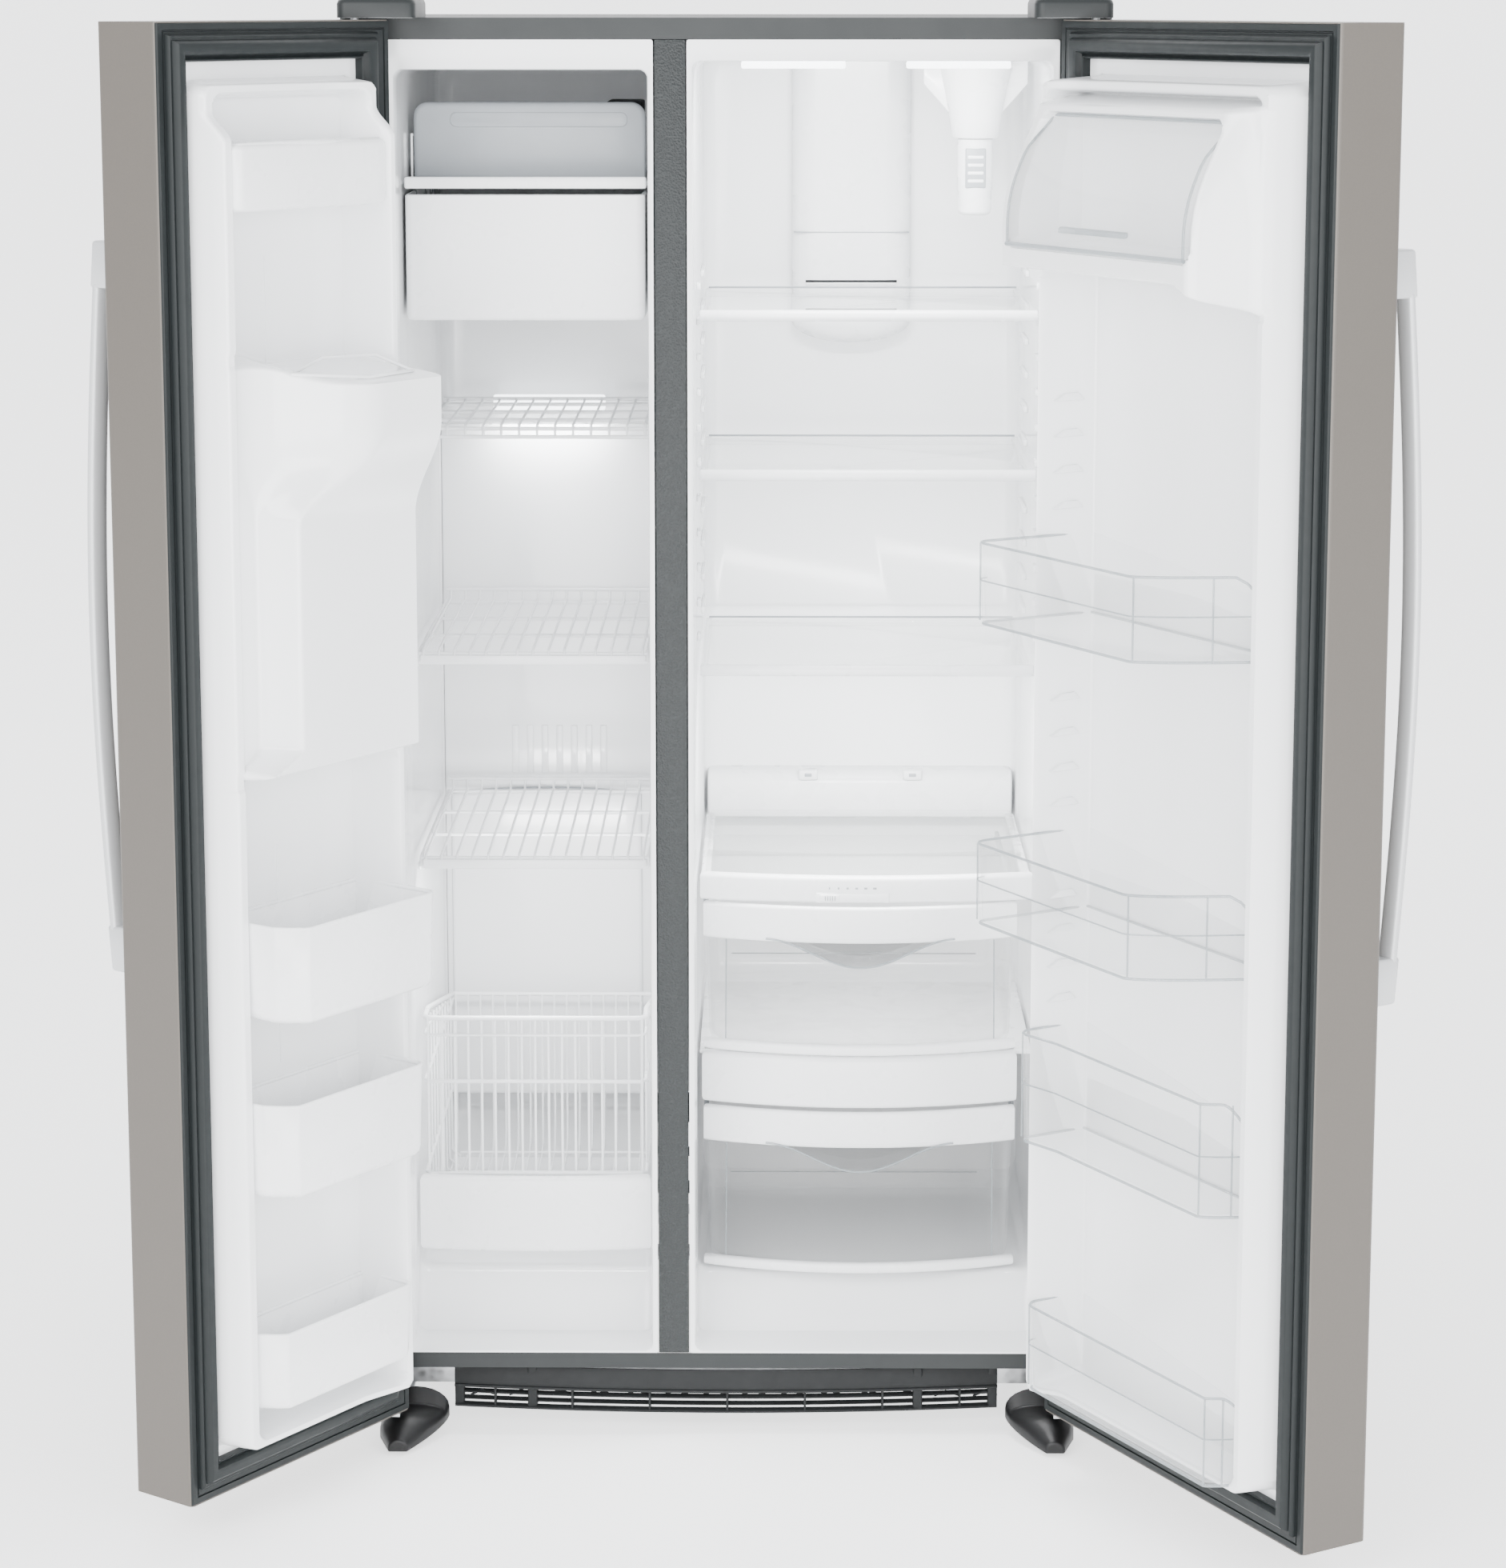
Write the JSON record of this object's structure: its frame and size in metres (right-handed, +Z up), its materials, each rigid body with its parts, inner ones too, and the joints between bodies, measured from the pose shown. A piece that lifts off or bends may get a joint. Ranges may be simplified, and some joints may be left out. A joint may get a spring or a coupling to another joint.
{
  "type": "side by side refrigerator",
  "caption": "Side by side refrigerator with slate doors standing open, white interior with glass and wire shelves, clear drawers, door bins and an ice dispenser.",
  "frame": {"origin": "on the floor at the middle of the case width and depth", "axes": "+X to the right, -Y out of the front, +Z up"},
  "size_m": [1.5011, 1.2212, 1.7652],
  "materials": {
    "case_steel": "satin paint over steel",
    "galvanised": "zinc plated",
    "mullion_vinyl": "leather grain",
    "white_liner": "glossy thermoformed sheet",
    "white_plastic": "moulded, glossy",
    "coated_wire": "vinyl coated wire",
    "dark_plastic": "fine texture",
    "gloss_black": "glossy",
    "grey_plastic": "satin",
    "lamp_diffuser": "opal diffuser",
    "frosted_clear": "ribbed translucent",
    "clear_plastic": "clear moulded",
    "glass": "toughened",
    "slate_steel": "satin slate coating",
    "gasket_rubber": "soft vinyl",
    "handle_metal": "satin"
  },
  "bodies": {
    "cabinet": {"case_shell": "case_steel", "back_panel": "galvanised", "mullion_cover": "mullion_vinyl", "freezer_liner": "white_liner", "fridge_liner": "white_liner", "base_frame": "galvanised", "base_grille": "dark_plastic", "leg_covers": "gloss_black", "levelling_legs": "galvanised", "top_hinges": "galvanised", "hinge_covers": "case_steel", "bottom_hinges": "galvanised", "compressor": "gloss_black", "condenser_coil": "gloss_black", "fan_motors": "grey_plastic", "evaporator": "galvanised", "drain_pan": "dark_plastic", "control_box": "grey_plastic", "water_valve": "galvanised", "compressor_cover": "dark_plastic", "cord_gland": "gloss_black", "freezer_back_cover": "white_plastic", "lamp_covers": "lamp_diffuser", "air_tower": "white_plastic", "filter_head": "white_plastic", "icemaker": "grey_plastic", "freezer_top_shelf": "frosted_clear", "wire_shelves": "coated_wire", "shelf_frames": "white_plastic", "shelf_panes": "glass", "crisper_cover": "white_plastic", "drawer_cover": "white_plastic", "rear_cover": "white_plastic"},
    "freezer_door": {"freezer_door_skin": "slate_steel", "freezer_door_liner": "white_liner", "freezer_gasket": "gasket_rubber", "freezer_handle": "handle_metal", "freezer_bins": "white_plastic", "dispenser_housing": "gloss_black", "drip_tray": "grey_plastic"},
    "dispenser_paddle": {"dispenser_paddle": "grey_plastic"},
    "ice_chute_flap": {"ice_chute_flap": "dark_plastic"},
    "fridge_door": {"fridge_door_skin": "slate_steel", "fridge_door_liner": "white_liner", "fridge_gasket": "gasket_rubber", "fridge_handle": "handle_metal", "fridge_bins": "clear_plastic"},
    "dairy_cover": {"dairy_cover": "clear_plastic"},
    "crisper_drawer": {"crisper_drawer": "clear_plastic"},
    "lower_drawer": {"lower_drawer": "clear_plastic"},
    "humidity_slider": {"humidity_slider": "grey_plastic"},
    "freezer_basket": {"freezer_basket": "coated_wire", "basket_front": "white_plastic"},
    "ice_bucket": {"ice_bucket": "white_plastic"},
    "ice_auger": {"ice_auger": "galvanised"},
    "icemaker_arm": {"icemaker_arm": "galvanised"},
    "water_filter": {"filter_cartridge": "white_plastic"},
    "evaporator_fan": {"evaporator_fan": "grey_plastic"},
    "condenser_fan": {"condenser_fan": "dark_plastic"},
    "rear_rollers": {"rear_rollers": "dark_plastic"}
  },
  "joints": [
    {"name": "freezer_door_hinge", "type": "hinge", "parent": "cabinet", "child": "freezer_door", "pos_m": [-0.431, -0.398, 0.9], "axis": [0, 0, -1], "range_deg": [-125, 2]},
    {"name": "fridge_door_hinge", "type": "hinge", "parent": "cabinet", "child": "fridge_door", "pos_m": [0.431, -0.398, 0.9], "axis": [0, 0, 1], "range_deg": [-120, 5]},
    {"name": "dairy_cover_hinge", "type": "hinge", "parent": "fridge_door", "child": "dairy_cover", "pos_m": [0.40664, -0.69381, 1.635], "axis": [-0.5, 0.866, 0], "range_deg": [0, 80]},
    {"name": "crisper_drawer_slide", "type": "slide", "parent": "cabinet", "child": "crisper_drawer", "axis": [0, -1, 0], "range_m": [0, 0.22]},
    {"name": "lower_drawer_slide", "type": "slide", "parent": "cabinet", "child": "lower_drawer", "axis": [0, -1, 0], "range_m": [0, 0.22]},
    {"name": "humidity_slide", "type": "slide", "parent": "cabinet", "child": "humidity_slider", "axis": [1, 0, 0], "range_m": [0, 0.06]},
    {"name": "freezer_basket_slide", "type": "slide", "parent": "cabinet", "child": "freezer_basket", "axis": [0, -1, 0], "range_m": [0, 0.15]},
    {"name": "ice_bucket_slide", "type": "slide", "parent": "cabinet", "child": "ice_bucket", "axis": [0, -1, 0], "range_m": [0, 0.12]},
    {"name": "ice_auger_spin", "type": "hinge", "parent": "ice_bucket", "child": "ice_auger", "pos_m": [-0.236, -0.05, 1.418], "axis": [0, 1, 0], "continuous": true},
    {"name": "icemaker_arm_pivot", "type": "hinge", "parent": "cabinet", "child": "icemaker_arm", "pos_m": [-0.386, -0.18, 1.6], "axis": [1, 0, 0], "range_deg": [0, 45]},
    {"name": "water_filter_twist", "type": "hinge", "parent": "cabinet", "child": "water_filter", "pos_m": [0.312, 0, 1.55], "axis": [0, 0, 1], "range_deg": [0, 90]},
    {"name": "evaporator_fan_spin", "type": "hinge", "parent": "cabinet", "child": "evaporator_fan", "pos_m": [-0.24, 0.23, 0.64], "axis": [0, 1, 0], "continuous": true},
    {"name": "condenser_fan_spin", "type": "hinge", "parent": "cabinet", "child": "condenser_fan", "pos_m": [-0.03, 0.24, 0.15], "axis": [1, 0, 0], "continuous": true},
    {"name": "dispenser_paddle_pivot", "type": "hinge", "parent": "freezer_door", "child": "dispenser_paddle", "pos_m": [-0.55104, -0.552, 1.232], "axis": [-0.5736, -0.8192, 0], "range_deg": [0, 8], "stiffness_Nm_per_rad": 0.2},
    {"name": "ice_chute_flap_hinge", "type": "hinge", "parent": "freezer_door", "child": "ice_chute_flap", "pos_m": [-0.5793, -0.53221, 1.2455], "axis": [0.5736, 0.8192, 0], "range_deg": [0, 55], "stiffness_Nm_per_rad": 0.1, "springref_deg": -28.65},
    {"name": "rear_rollers_spin", "type": "hinge", "parent": "cabinet", "child": "rear_rollers", "pos_m": [0, 0.29, 0.019], "axis": [1, 0, 0], "continuous": true}
  ]
}
